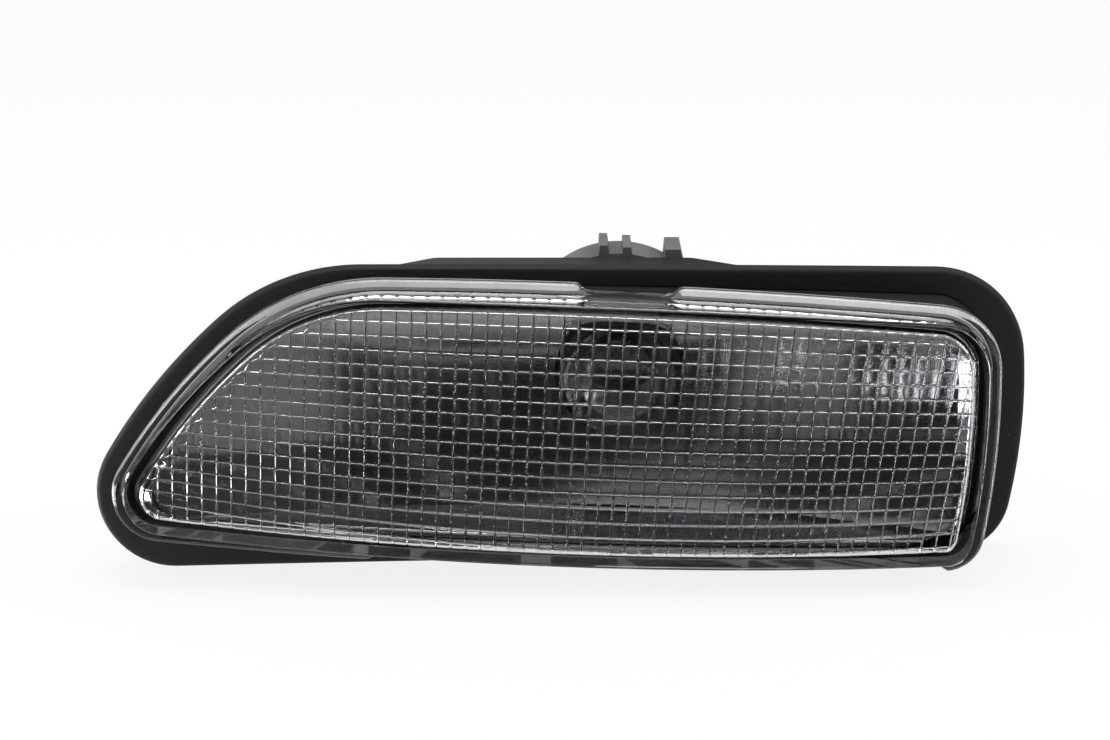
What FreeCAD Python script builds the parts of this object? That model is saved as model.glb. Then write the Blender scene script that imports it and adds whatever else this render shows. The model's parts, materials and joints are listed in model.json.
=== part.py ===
import FreeCAD, Part
import math
import os

import Sketcher

# Corner indicator lamp. The lens faces -Y, +Z is up, +X is to the right as seen from the front.
# The origin lies at the middle of the lens base, on the plane where the lens meets its seal.

doc = FreeCAD.newDocument("indicator_lamp")
vec = FreeCAD.Vector

# Driving dimensions, in millimetres and degrees
sizes = {
    # outline of the lens lip, four sides and four corners
    "top_radius": 1500, "top_crown_x": -53, "top_crown_z": 30.15,
    "right_radius": 200, "right_crown_x": 95.1, "right_crown_z": 4,
    "bottom_radius": 1300, "bottom_crown_x": 50, "bottom_crown_z": -36.5,
    "slope_radius": 130, "slope_x": -83.1, "slope_z": 4.7, "slope_angle": 50,
    "corner_tr": 14.8, "corner_tl": 50, "corner_bl": 11, "corner_br": 9,
    # lens
    "lip_width": 2, "lip_depth": 3, "lip_chamfer": 0.6, "lens_wall": 2.2, "lens_depth": 10,
    "lens_dome": 1000, "dome_x": 10, "draft_level": 1.5, "draft_side": 2.4, "lens_draft_depth": 12,
    "lip_gap_x": 15, "lip_gap_width": 20, "low_gap_x": 21.5, "low_gap_width": 123,
    "gap_slant": 3, "gap_over": 5,
    # pillow optics on the inside of the lens
    "pillow_width": 3.18, "pillow_rows": 19.6, "pillow_height": 0.8, "pillow_skin": 2,
    "fan_x": 40, "fan_radius": 700, "lean_low": 0.02, "lean_gain": 0.147, "lean_from": -70, "lean_span": 156,
    "pillow_margin": 2.9, "pillow_far": 3000,
    # seal, skirt and flange
    "seal_thick": 0.8, "seal_inset": 0.3, "skirt_wall": 2.5, "bend_radius": 600, "bend_x": -45, "bend_y": 1,
    "gasket_thick": 3, "gasket_fit": 0.2, "seat_play": 0.05, "drum_height": 120, "block_front": 2,
    "flange_thick": 2.5, "flange_inset": 1.2,
    # outline of the gasket
    "frame_top_radius": 1900, "frame_top_x": -40, "frame_top_z": 31.6,
    "frame_right_radius": 125, "frame_right_x": 102.7, "frame_right_z": -2,
    "frame_hollow_radius": 1500, "frame_hollow_x": -12, "frame_hollow_z": -34.6,
    "frame_slope_out": 3.2, "frame_tr": 22, "frame_tl": 46, "frame_bl": 16.5, "frame_br": 13,
    # bowl behind the flange
    "bowl_inset": 2.6, "bowl_start": 3, "bowl_bend": 15, "back_wall": 2.5, "bowl_back": 44,
    "tower_x": 1, "tower_width": 78, "tower_top": 22.9, "tower_low": -30, "tower_corner": 11,
    # bulb axis, holder opening and reflector
    "bulb_x": 13.5, "bulb_z": 1.5, "opening_radius": 13.5, "fit_gap": 0.3,
    "dish_radius": 213, "dish_bow": 60, "dish_half": 48, "dish_depth": 26, "reflector_wall": 1.5,
    "reflector_front": 1.2,
    "reflector_inset": 0.6, "reflector_draft": 4.2, "draft_length": 31, "dish_hole": 14.5,
    "neck_wall": 1.8, "lug_room": 0.5,
    # holder
    "lug_reach": 2.2, "lug_root": 1, "lug_width": 8, "lug_thick": 2.4, "lug_count": 3, "lug_play": 0.2,
    "unlock_angle": 45,
    "holder_seal_thick": 2, "holder_seal_width": 3.5, "seal_play": 0.1,
    "grip_radius": 21.8, "grip_floor": 3, "grip_length": 12, "grip_wall": 2.5,
    "rib_groups": 3, "rib_foot": 15,
    "rib_a": -4.95, "rib_a_width": 3.9, "rib_a_lean": 0.65, "rib_a_tip": 1.85, "rib_a_top": 23.65,
    "rib_b": 0.55, "rib_b_width": 3.65, "rib_b_lean": 0.45, "rib_b_tip": 1.8, "rib_b_top": 23.2,
    "rib_c": 9.95, "rib_c_width": 5.75, "rib_c_lean": 0.65, "rib_c_tip": 3.4, "rib_c_top": 22.7,
    "socket_wall": 3.6, "socket_front": 36, "pin_turn": 25, "hook_steps": 4,
    "slot_width": 2.6, "slot_depth": 1.5,
    "plug_width": 17, "plug_height": 13, "plug_length": 18, "plug_wall": 1.6, "plug_floor": 3,
    # bulb
    "cap_radius": 7.5, "cap_wall": 0.4, "cap_front": 40, "cap_length": 15, "cap_fit": 0.7, "cap_hole": 5,
    "globe_radius": 12.5, "globe_y": 19, "globe_wall": 0.8,
    "globe_taper": 7, "taper_out": 0.8, "taper_back": 0.6,
    "glass_fit": 0.1, "glass_inset": 6,
    "pin_radius": 1, "pin_reach": 1.8, "pin_back": 7,
    "stem_radius": 2.9, "stem_length": 14, "stem_foot": 1,
    "lead_radius": 0.35, "lead_spread": 2, "lead_length": 11.5,
    "filament_radius": 0.5, "plate_tip": 3.4, "plate_thick": 1.6,
    "button_radius": 2.6, "button_tip": 1.6, "button_thick": 1.2,
    "blade_width": 4, "blade_thick": 0.8, "blade_pitch": 8, "blade_length": 12,
    "strip_thick": 0.5, "strip_play": 0.1, "tongue_length": 12,
    # fixings and vent on the back
    "boss_pitch": 128, "boss_x": 2, "boss_z": -6, "boss_radius": 5, "boss_back": 47, "pilot_radius": 1.7,
    "pilot_depth": 12, "peg_x": -88, "peg_z": -19, "peg_radius": 2.5, "peg_back": 30,
    "collar_radius": 4.5, "collar_back": 20,
    "vent_x": 52, "vent_z": -16, "spout_radius": 3.5, "spout_bore": 2, "spout_back": 48,
    "elbow_wall": 1.8, "elbow_grip": 7, "elbow_drop": 12, "elbow_fit": 0.1,
    # how far a cut reaches past the face that it clears
    "cut_over": 1,
}
full_turn = 360
mesh_tolerance = 0.001
sheet = doc.addObject("Spreadsheet::Sheet", "Sheet")
for row, (alias, value) in enumerate(sizes.items(), start=1):
    sheet.set("A%d" % row, alias)
    sheet.set("B%d" % row, str(value))
    sheet.setAlias("B%d" % row, alias)
doc.recompute()


def size(alias):
    return float(sheet.get(alias))


def named(kind, name):
    item = doc.addObject(kind, name)
    item.Label = name
    return item


def bind(item, **expressions):
    for path, expression in expressions.items():
        item.setExpression(path.replace("__", "."), with_sheet(expression))
    return item


def with_sheet(expression):
    words = []
    for word in str(expression).replace("(", "( ").replace(")", " )").split():
        words.append("Sheet." + word if word in sizes else word)
    return " ".join(words)


def worth(expression):
    # the number that an expression of sheet names comes to, for a sketch's first drawing
    probe = doc.getObject("Probe") or doc.addObject("App::FeaturePython", "Probe")
    if "Value" not in probe.PropertiesList:
        probe.addProperty("App::PropertyFloat", "Value")
    probe.setExpression("Value", with_sheet(expression))
    probe.recompute()
    result = probe.Value
    probe.setExpression("Value", None)
    return result


# Outlines: each side is an arc with a centre, a radius and a sign (+1 bulges outwards, -1 is hollow)
lip_sides = {
    "right": ("right_crown_x - right_radius", "right_crown_z", "right_radius", 1),
    "top": ("top_crown_x", "top_crown_z - top_radius", "top_radius", 1),
    "slope": (
        "slope_x + slope_radius * sin( slope_angle * 1 deg )",
        "slope_z - slope_radius * cos( slope_angle * 1 deg )",
        "slope_radius",
        1,
    ),
    "bottom": ("bottom_crown_x", "bottom_crown_z + bottom_radius", "bottom_radius", 1),
}
lip_corners = ("corner_tr", "corner_tl", "corner_bl", "corner_br")
frame_sides = {
    "right": ("frame_right_x - frame_right_radius", "frame_right_z", "frame_right_radius", 1),
    "top": ("frame_top_x", "frame_top_z - frame_top_radius", "frame_top_radius", 1),
    "slope": (lip_sides["slope"][0], lip_sides["slope"][1], "slope_radius + frame_slope_out", 1),
    "bottom": ("frame_hollow_x", "frame_hollow_z - frame_hollow_radius", "frame_hollow_radius", -1),
}
frame_corners = ("frame_tr", "frame_tl", "frame_bl", "frame_br")
side_order = ("right", "top", "slope", "bottom")
# a point near each corner's centre, in the order of the corners
corner_hints = [(80, 10), (-40, 10), (-80, -20), (80, -20)]


def corner_centre(side_a, side_b, radius, near):
    # centre of the corner arc that touches two side arcs, the one nearest a given point
    (ax, az, ar, asign), (bx, bz, br, bsign) = side_a, side_b
    ra = ar - asign * radius
    rb = br - bsign * radius
    dx, dz = bx - ax, bz - az
    gap = math.hypot(dx, dz)
    along = (gap * gap + ra * ra - rb * rb) / (2 * gap)
    across = math.sqrt(ra * ra - along * along)
    foot = (ax + along * dx / gap, az + along * dz / gap)
    both = [
        (foot[0] - across * dz / gap, foot[1] + across * dx / gap),
        (foot[0] + across * dz / gap, foot[1] - across * dx / gap),
    ]
    return min(both, key=lambda p: math.hypot(p[0] - near[0], p[1] - near[1]))


def touch_point(side, centre):
    cx, cz, radius, sign = side
    reach = math.hypot(centre[0] - cx, centre[1] - cz)
    return (cx + (centre[0] - cx) * radius / reach, cz + (centre[1] - cz) * radius / reach)


def arc_between(centre, radius, start, end, sign):
    first = math.atan2(start[1] - centre[1], start[0] - centre[0])
    last = math.atan2(end[1] - centre[1], end[0] - centre[0])
    if sign < 0:
        first, last = last, first
    circle = Part.Circle(vec(centre[0], centre[1], 0), vec(0, 0, 1), radius)
    return Part.ArcOfCircle(circle, first, last if last > first else last + 2 * math.pi)


def outline(name, y, level="0", side="0", corner="0", sides=lip_sides, corners=lip_corners):
    # closed outline at depth y, moved outwards by level at top and bottom and by side at the two ends
    shift = {"right": side, "top": level, "slope": side, "bottom": level}
    numbers = []
    for key in side_order:
        cx, cz, radius, sign = sides[key]
        numbers.append((worth(cx), worth(cz), worth(radius) + sign * worth(shift[key]), sign))
    radii = [worth("%s + ( %s )" % (word, corner)) for word in corners]
    centres = [corner_centre(numbers[i], numbers[(i + 1) % 4], radii[i], corner_hints[i]) for i in range(4)]
    sketch = named("Sketcher::SketchObject", name)
    sketch.Placement = FreeCAD.Placement(vec(0, worth(y), 0), FreeCAD.Rotation(vec(1, 0, 0), 90))
    bind(sketch, Placement__Base__y=y)
    for i in range(4):
        cx, cz, radius, sign = numbers[i]
        start = touch_point(numbers[i], centres[i - 1])
        end = touch_point(numbers[i], centres[i])
        sketch.addGeometry(arc_between((cx, cz), radius, start, end, sign))
        turn_end = touch_point(numbers[(i + 1) % 4], centres[i])
        sketch.addGeometry(arc_between(centres[i], radii[i], end, turn_end, 1))
    for i in range(8):
        after = (i + 1) % 8
        leave = 1 if i % 2 == 0 and numbers[i // 2][3] < 0 else 2
        enter = 2 if after % 2 == 0 and numbers[after // 2][3] < 0 else 1
        sketch.addConstraint(Sketcher.Constraint("Tangent", i, leave, after, enter))
    for i, key in enumerate(side_order):
        cx, cz, radius, sign = sides[key]
        moved = "%s %s ( %s )" % (radius, "+" if sign > 0 else "-", shift[key])
        hold(sketch, "Radius", 2 * i, moved)
        hold(sketch, "DistanceX", 2 * i, cx)
        hold(sketch, "DistanceY", 2 * i, cz)
        hold(sketch, "Radius", 2 * i + 1, "%s + ( %s )" % (corners[i], corner))
    return sketch


def hold(sketch, kind, index, expression):
    value = worth(expression)
    if kind == "Radius":
        number = sketch.addConstraint(Sketcher.Constraint(kind, index, value))
    else:
        number = sketch.addConstraint(Sketcher.Constraint(kind, -1, 1, index, 3, value))
    sketch.setExpression("Constraints[%d]" % number, with_sheet(expression))


def tower_outline(name, y, inset="0"):
    # rounded rectangle of the bulb tower, drawn in the same order as the outline
    right = worth("tower_x + tower_width / 2 - ( %s )" % inset)
    left = worth("tower_x - tower_width / 2 + ( %s )" % inset)
    top = worth("tower_top - ( %s )" % inset)
    low = worth("tower_low + ( %s )" % inset)
    bend = worth("tower_corner - ( %s )" % inset)
    sketch = named("Sketcher::SketchObject", name)
    sketch.Placement = FreeCAD.Placement(vec(0, worth(y), 0), FreeCAD.Rotation(vec(1, 0, 0), 90))
    bind(sketch, Placement__Base__y=y)
    points = [(right, low + bend), (right, top - bend), (right - bend, top), (left + bend, top)]
    points += [(left, top - bend), (left, low + bend), (left + bend, low), (right - bend, low)]
    middles = [(right - bend, top - bend), (left + bend, top - bend), (left + bend, low + bend)]
    middles += [(right - bend, low + bend)]
    for i in range(4):
        a, b = points[2 * i], points[2 * i + 1]
        sketch.addGeometry(Part.LineSegment(vec(a[0], a[1], 0), vec(b[0], b[1], 0)))
        circle = Part.Circle(vec(middles[i][0], middles[i][1], 0), vec(0, 0, 1), bend)
        sketch.addGeometry(Part.ArcOfCircle(circle, i * math.pi / 2, (i + 1) * math.pi / 2))
    for i in range(8):
        sketch.addConstraint(Sketcher.Constraint("Tangent", i, 2, (i + 1) % 8, 1))
    sketch.addConstraint(Sketcher.Constraint("Vertical", 0))
    sketch.addConstraint(Sketcher.Constraint("Horizontal", 2))
    sketch.addConstraint(Sketcher.Constraint("Equal", 1, 3))
    sketch.addConstraint(Sketcher.Constraint("Equal", 1, 5))
    sketch.addConstraint(Sketcher.Constraint("Equal", 1, 7))
    hold(sketch, "Radius", 1, "tower_corner - ( %s )" % inset)
    hold(sketch, "DistanceX", 1, "tower_x + tower_width / 2 - tower_corner")
    hold(sketch, "DistanceY", 1, "tower_top - tower_corner")
    hold(sketch, "DistanceX", 5, "tower_x - tower_width / 2 + tower_corner")
    hold(sketch, "DistanceY", 5, "tower_low + tower_corner")
    return sketch


def prism(name, sketch, length):
    # straight walls from the sketch towards +Y
    item = named("Part::Extrusion", name)
    item.Base = sketch
    item.DirMode = "Custom"
    item.Dir = vec(0, 1, 0)
    item.Solid = True
    return bind(item, LengthFwd=length)


def loft(name, *sketches):
    item = named("Part::Loft", name)
    item.Sections = list(sketches)
    item.Solid = True
    item.Ruled = True
    return item


def cut(name, base, tool):
    item = named("Part::Cut", name)
    item.Base = base
    item.Tool = tool
    return item


def common(name, *shapes):
    item = named("Part::MultiCommon", name)
    item.Shapes = list(shapes)
    return item


def fuse(name, *shapes):
    item = named("Part::MultiFuse", name)
    item.Shapes = list(shapes)
    return item


def cylinder(name, radius, length, x="bulb_x", y="0", z="bulb_z"):
    # cylinder along +Y
    item = named("Part::Cylinder", name)
    item.Placement = FreeCAD.Placement(vec(), FreeCAD.Rotation(vec(1, 0, 0), -90))
    return bind(
        item, Radius=radius, Height=length, Placement__Base__x=x, Placement__Base__y=y, Placement__Base__z=z
    )


def box(name, x, y, z, width, depth, height):
    # box centred on x and z, from y towards +Y
    item = named("Part::Box", name)
    return bind(
        item,
        Length=width,
        Width=depth,
        Height=height,
        Placement__Base__x="%s - ( %s ) / 2" % (x, width),
        Placement__Base__y=y,
        Placement__Base__z="%s - ( %s ) / 2" % (z, height),
    )


def bend_drum(name, radius):
    # upright drum whose front is the bend that flange and gasket follow
    item = named("Part::Cylinder", name)
    return bind(
        item,
        Radius=radius,
        Height="drum_height",
        Placement__Base__x="bend_x",
        Placement__Base__y="bend_y + bend_radius",
        Placement__Base__z="0 - drum_height / 2",
    )


def turned(name, points, x="bulb_x", z="bulb_z"):
    # body turned about the bulb axis from (radius, y) points, each an expression
    body = named("PartDesign::Body", name)
    bind(body, Placement__Base__x=x, Placement__Base__z=z)
    sketch = body.newObject("Sketcher::SketchObject", name + "_profile")
    plane = [f for f in body.Origin.OriginFeatures if f.Role == "XY_Plane"][0]
    sketch.AttachmentSupport = [(plane, "")]
    sketch.MapMode = "FlatFace"
    spots = [(worth(r), worth(y)) for r, y in points]
    count = len(points)
    for i in range(count):
        a, b = spots[i], spots[(i + 1) % count]
        sketch.addGeometry(Part.LineSegment(vec(a[0], a[1], 0), vec(b[0], b[1], 0)))
    for i in range(count):
        sketch.addConstraint(Sketcher.Constraint("Coincident", i, 2, (i + 1) % count, 1))
    for i, (r, y) in enumerate(points):
        for kind, expression in (("DistanceX", r), ("DistanceY", y)):
            number = sketch.addConstraint(Sketcher.Constraint(kind, -1, 1, i, 1, worth(expression)))
            sketch.setExpression("Constraints[%d]" % number, with_sheet(expression))
    spin = body.newObject("PartDesign::Revolution", name + "_turn")
    spin.Profile = sketch
    spin.ReferenceAxis = (sketch, ["V_Axis"])
    spin.Angle = full_turn
    return body


# Lens: drafted tub with a domed front, a lip with two gaps and pillow optics inside
wall_out = "0 - lip_width"
front_y = "0 - lens_draft_depth"
room_level = wall_out + " - draft_level - lens_wall"
room_side = wall_out + " - draft_side - lens_wall"
lens_shell = loft(
    "lens_shell",
    outline("lens_base", "0", wall_out, wall_out, wall_out),
    outline("lens_front", front_y, wall_out + " - draft_level", wall_out + " - draft_side", wall_out),
)
lens_room = prism(
    "lens_room",
    outline("room_front", front_y, room_level, room_side, room_level),
    "lens_draft_depth + cut_over",
)
dome = named("Part::Sphere", "dome")
bind(dome, Radius="lens_dome", Placement__Base__x="dome_x", Placement__Base__y="lens_dome - lens_depth")
lens_tub = common("lens_tub", lens_shell, dome)


def pillow_spot(i, j, lift):
    # rows fan out between the top edge and a lower arc, columns lean more towards the right end,
    # and every point follows the dome at the depth of the skin
    x = i * size("pillow_width")
    high = size("top_crown_z") - (x - size("top_crown_x")) ** 2 / (2 * size("top_radius"))
    low = size("bottom_crown_z") + (x - size("fan_x")) ** 2 / (2 * size("fan_radius"))
    z = low + (high - low) * j / size("pillow_rows")
    x += z * (size("lean_low") + size("lean_gain") * ((x - size("lean_from")) / size("lean_span")) ** 2)
    sag = ((x - size("dome_x")) ** 2 + z * z) / (2 * size("lens_dome"))
    return vec(x, sag - size("lens_depth") + size("pillow_skin") + lift, z)


def near_room(spot):
    # whether a cell's middle lies within the room's four side arcs, or just outside them
    margin = size("pillow_margin") + worth(room_level)
    for cx, cz, radius, sign in room_arcs:
        if math.hypot(spot.x - cx, spot.z - cz) > radius + margin:
            return False
    return True


def pillow_block():
    # closed solid behind the optics: four slopes a cell, drawn in to one far point behind
    reach = int(size("frame_right_x") / size("pillow_width")) + 1
    rows = int(size("pillow_rows"))
    cells = [(i, j) for j in range(-rows, 2 * rows) for i in range(-reach, reach)]
    cells = [(i, j) for i, j in cells if near_room(pillow_spot(i + 0.5, j + 0.5, 0))]
    numbers = {}
    points = [vec(0, size("pillow_far"), 0)]
    facets = []
    edges = {}
    for i, j in cells:
        ring = []
        for spot in ((i, j), (i + 1, j), (i + 1, j + 1), (i, j + 1)):
            if spot not in numbers:
                numbers[spot] = len(points)
                points.append(pillow_spot(spot[0], spot[1], 0))
            ring.append(numbers[spot])
        top = len(points)
        points.append(pillow_spot(i + 0.5, j + 0.5, size("pillow_height")))
        for k in range(4):
            a, b = ring[k], ring[(k + 1) % 4]
            facets.append((a, b, top))
            edges[(a, b)] = (b, a)
    facets += [(b, a, 0) for a, b in edges if (b, a) not in edges]
    shape = Part.Shape()
    shape.makeShapeFromMesh((points, facets), mesh_tolerance)
    solid = Part.Solid(shape.Shells[0])
    if solid.Volume < 0:
        solid.reverse()
    item = named("Part::Feature", "pillow_block")
    item.Shape = solid
    return item


room_arcs = [(worth(cx), worth(cz), worth(radius), sign) for cx, cz, radius, sign in lip_sides.values()]
optics = common("optics", lens_room, pillow_block())
lip_y = "0 - lip_depth"
root_out = wall_out + " - seal_inset"
lip_root = outline("lip_root", lip_y + " - cut_over", root_out, root_out, wall_out)
lip_eased = "0 - lip_chamfer"
lip_outer = loft(
    "lip_outer",
    outline("lip_front", lip_y, lip_eased, lip_eased, lip_eased),
    outline("lip_front_edge", lip_y + " + lip_chamfer"),
    outline("lip_back_edge", lip_eased),
    outline("lip_back", "0", lip_eased, lip_eased, lip_eased),
)
lip_ring = cut("lip_ring", lip_outer, prism("lip_inner", lip_root, "lip_depth + 2 * cut_over"))


def gap_tool(name, x, width, low, high, flare):
    # upright wedge that clears the lip between two slanted ends
    item = named("Part::Wedge", name)
    item.Placement = FreeCAD.Placement(vec(), FreeCAD.Rotation(vec(1, 0, 0), 90))
    return bind(
        item,
        Placement__Base__y="cut_over",
        Xmin="( %s ) - ( %s ) / 2" % (x, width),
        Xmax="( %s ) + ( %s ) / 2" % (x, width),
        X2min="( %s ) - ( %s ) / 2 - ( %s )" % (x, width, flare),
        X2max="( %s ) + ( %s ) / 2 + ( %s )" % (x, width, flare),
        Ymin=low,
        Ymax=high,
        Zmin="0",
        Zmax="lip_depth + 2 * cut_over",
        Z2min="0",
        Z2max="lip_depth + 2 * cut_over",
    )


top_gap = gap_tool("top_gap", "lip_gap_x", "lip_gap_width", "0", "top_crown_z + gap_over", "0")
gap_low = "bottom_crown_z - gap_over"
low_gap = gap_tool("low_gap", "low_gap_x", "low_gap_width", gap_low, "0", "0 - gap_slant")
lip = cut("lip", cut("lip_topped", lip_ring, top_gap), low_gap)
lens = cut("lens", fuse("lens_solid", lens_tub, lip), optics)

# Bead of adhesive between the lens and the housing
seal_out = "0 - lip_width - seal_inset"
seal_in = "0 - lip_width - lens_wall + seal_inset"
seal_hole = outline("seal_hole", "0 - cut_over", seal_in, seal_in, seal_in)
lens_seal = cut(
    "lens_seal",
    prism("seal_outer", outline("seal_edge", "0", seal_out, seal_out, seal_out), "seal_thick"),
    prism("seal_inner", seal_hole, "seal_thick + 2 * cut_over"),
)

# Gasket: rubber frame on the bent flange
hole_out = "0 - lip_width + gasket_fit"
seat_radius = "bend_radius - gasket_thick"
gasket_band = cut(
    "gasket_band",
    bend_drum("bend_front", "bend_radius"),
    bend_drum("bend_seat", seat_radius + " + seat_play"),
)
block_y = "0 - block_front"
frame_edge = outline("frame_edge", block_y, sides=frame_sides, corners=frame_corners)
hole_edge = outline("hole_edge", block_y + " - cut_over", hole_out, hole_out, hole_out)
gasket = cut(
    "gasket",
    common("gasket_plate", gasket_band, prism("gasket_block", frame_edge, "bowl_back")),
    prism("gasket_hole", hole_edge, "bowl_back"),
)

# Housing: skirt in front of the bent flange, bowl and bulb tower behind it
skirt_out = "0 - lip_width"
skirt_in = "0 - lip_width - skirt_wall"
flange_back = bend_drum("flange_back", seat_radius + " - flange_thick")
skirt_edge = outline("skirt_edge", "seal_thick", skirt_out, skirt_out, skirt_out)
skirt = cut("skirt", prism("skirt_block", skirt_edge, "bowl_back"), flange_back)
flange_out = "0 - flange_inset"
flange_edge = outline("flange_edge", block_y, flange_out, flange_out, flange_out, frame_sides, frame_corners)
flange_band = cut("flange_band", bend_drum("flange_seat", seat_radius), flange_back)
flange = common("flange", flange_band, prism("flange_block", flange_edge, "bowl_back"))
bowl_out = "0 - bowl_inset"
bowl_in = "0 - bowl_inset - skirt_wall"
bowl_edge = outline("bowl_edge", "bowl_bend", bowl_out, bowl_out, bowl_out)
bowl_foot = outline("bowl_foot", "bowl_start", bowl_out, bowl_out, bowl_out)
bowl = fuse(
    "bowl",
    prism("bowl_ring", bowl_foot, "bowl_bend - bowl_start"),
    loft("bowl_cone", bowl_edge, tower_outline("tower_edge", "bowl_back")),
)
room_edge = outline("room_edge", "bowl_bend", bowl_in, bowl_in, bowl_out)
room_foot = outline("room_foot", "bowl_start", bowl_in, bowl_in, bowl_out)
bowl_room = fuse(
    "bowl_room",
    prism("room_ring", room_foot, "bowl_bend - bowl_start"),
    loft("room_cone", room_edge, tower_outline("tower_room", "bowl_back - back_wall", "skirt_wall")),
)
skirt_room = cut(
    "skirt_room",
    prism("skirt_hole", outline("skirt_inner", "0", skirt_in, skirt_in, skirt_in), "bowl_back"),
    bend_drum("floor_front", seat_radius),
)
outside = fuse("housing_outside", skirt, flange, bowl)
inside = fuse("housing_inside", skirt_room, bowl_room)
shell = cut("housing_shell", outside, inside)


def post(name, radius, back, x, z):
    # round post from the bowl back to a given depth, kept out of the room inside
    return cut(name, cylinder(name + "_rod", radius, back + " - bowl_start", x, "bowl_start", z), inside)


posts = [
    post("peg", "peg_radius", "peg_back", "peg_x", "peg_z"),
    post("collar", "collar_radius", "collar_back", "peg_x", "peg_z"),
    post("spout", "spout_radius", "spout_back", "vent_x", "vent_z"),
]
pilots = []
for side, sign in (("left", "-"), ("right", "+")):
    boss_at = "boss_x %s boss_pitch / 2" % sign
    pilot_y = "boss_back - pilot_depth"
    pilot_run = "pilot_depth + cut_over"
    posts.append(post("boss_" + side, "boss_radius", "boss_back", boss_at, "boss_z"))
    pilots.append(cylinder("pilot_" + side, "pilot_radius", pilot_run, boss_at, pilot_y, "boss_z"))
spout_hole = cylinder("spout_hole", "spout_bore", "bowl_back", "vent_x", "bowl_bend", "vent_z")
opening = cylinder("opening", "opening_radius + fit_gap", "bowl_back", y="bowl_back - back_wall - cut_over")
lug_tip = "opening_radius + lug_reach"


def fin(name, turn, foot, tip, inner, outer, y, depth):
    # block beside the bulb axis at a turn from the top: foot and tip are its (from, to) across
    item = named("Part::Wedge", name)
    bind(
        item,
        Xmin=foot[0],
        Xmax=foot[1],
        X2min=tip[0],
        X2max=tip[1],
        Ymin=inner,
        Ymax=outer,
        Zmin="0",
        Zmax=depth,
        Z2min="0",
        Z2max=depth,
    )
    back = worth("( %s ) + ( %s )" % (y, depth))
    upright = FreeCAD.Placement(vec(), FreeCAD.Rotation(vec(1, 0, 0), 90))
    axis = vec(size("bulb_x"), back, size("bulb_z"))
    item.Placement = FreeCAD.Placement(axis, FreeCAD.Rotation(vec(0, 1, 0), turn)) * upright
    return item


def spoke(name, turn, inner, outer, y, depth, width):
    # straight block standing out from the bulb axis
    across = ("0 - ( %s ) / 2" % width, "( %s ) / 2" % width)
    return fin(name, turn, across, across, inner, outer, y, depth)


lug_turns = [full_turn / size("lug_count") * k for k in range(int(size("lug_count")))]
lug_slots = []
for k, turn in enumerate(lug_turns):
    lug_slots.append(
        spoke(
            "lug_slot_%d" % k,
            turn + size("unlock_angle"),
            "0",
            lug_tip + " + fit_gap",
            "bowl_back - back_wall - cut_over",
            "back_wall + 2 * cut_over",
            "lug_width + 2 * fit_gap",
        )
    )
housing = cut(
    "housing",
    fuse("housing_solid", shell, *posts),
    fuse("housing_holes", spout_hole, opening, *pilots, *lug_slots),
)

# Reflector: drafted metallised insert whose back is a dish about an upright axis
out_a = "0 - lip_width - skirt_wall - reflector_inset"
out_b = out_a + " - reflector_draft"
in_a = out_a + " - reflector_wall"
in_b = out_b + " - reflector_wall"
draft_y = "reflector_front + draft_length"


def dish(name, grow):
    # barrel about an upright axis: its side is the dish, bowed up and down, dish_radius from left to right
    body = named("PartDesign::Body", name)
    axis_y = "dish_depth - dish_radius"
    bind(body, Placement__Base__x="bulb_x", Placement__Base__y=axis_y, Placement__Base__z="bulb_z")
    sketch = body.newObject("Sketcher::SketchObject", name + "_profile")
    plane = [f for f in body.Origin.OriginFeatures if f.Role == "XZ_Plane"][0]
    sketch.AttachmentSupport = [(plane, "")]
    sketch.MapMode = "FlatFace"
    tall = size("dish_half")
    reach = worth("dish_radius + ( %s )" % grow)
    bow = worth("dish_bow + ( %s )" % grow)
    rim = reach - bow + math.sqrt(bow * bow - tall * tall)
    angle = math.asin(tall / bow)
    circle = Part.Circle(vec(reach - bow, 0, 0), vec(0, 0, 1), bow)
    sketch.addGeometry(Part.ArcOfCircle(circle, -angle, angle))
    sketch.addGeometry(Part.LineSegment(vec(rim, tall, 0), vec(0, tall, 0)))
    sketch.addGeometry(Part.LineSegment(vec(0, tall, 0), vec(0, -tall, 0)))
    sketch.addGeometry(Part.LineSegment(vec(0, -tall, 0), vec(rim, -tall, 0)))
    for i in range(4):
        sketch.addConstraint(Sketcher.Constraint("Coincident", i, 2, (i + 1) % 4, 1))
    sketch.addConstraint(Sketcher.Constraint("Horizontal", 1))
    sketch.addConstraint(Sketcher.Constraint("Horizontal", 3))
    sketch.addConstraint(Sketcher.Constraint("PointOnObject", 1, 2, -2))
    sketch.addConstraint(Sketcher.Constraint("Vertical", 2))
    sketch.addConstraint(Sketcher.Constraint("PointOnObject", 0, 3, -1))
    hold(sketch, "Radius", 0, "dish_bow + ( %s )" % grow)
    hold(sketch, "DistanceX", 0, "dish_radius - dish_bow")
    number = sketch.addConstraint(Sketcher.Constraint("DistanceY", 2, 2, 2, 1, 2 * tall))
    sketch.setExpression("Constraints[%d]" % number, with_sheet("2 * dish_half"))
    spin = body.newObject("PartDesign::Revolution", name + "_turn")
    spin.Profile = sketch
    spin.ReferenceAxis = (sketch, ["V_Axis"])
    spin.Angle = full_turn
    return body


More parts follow.
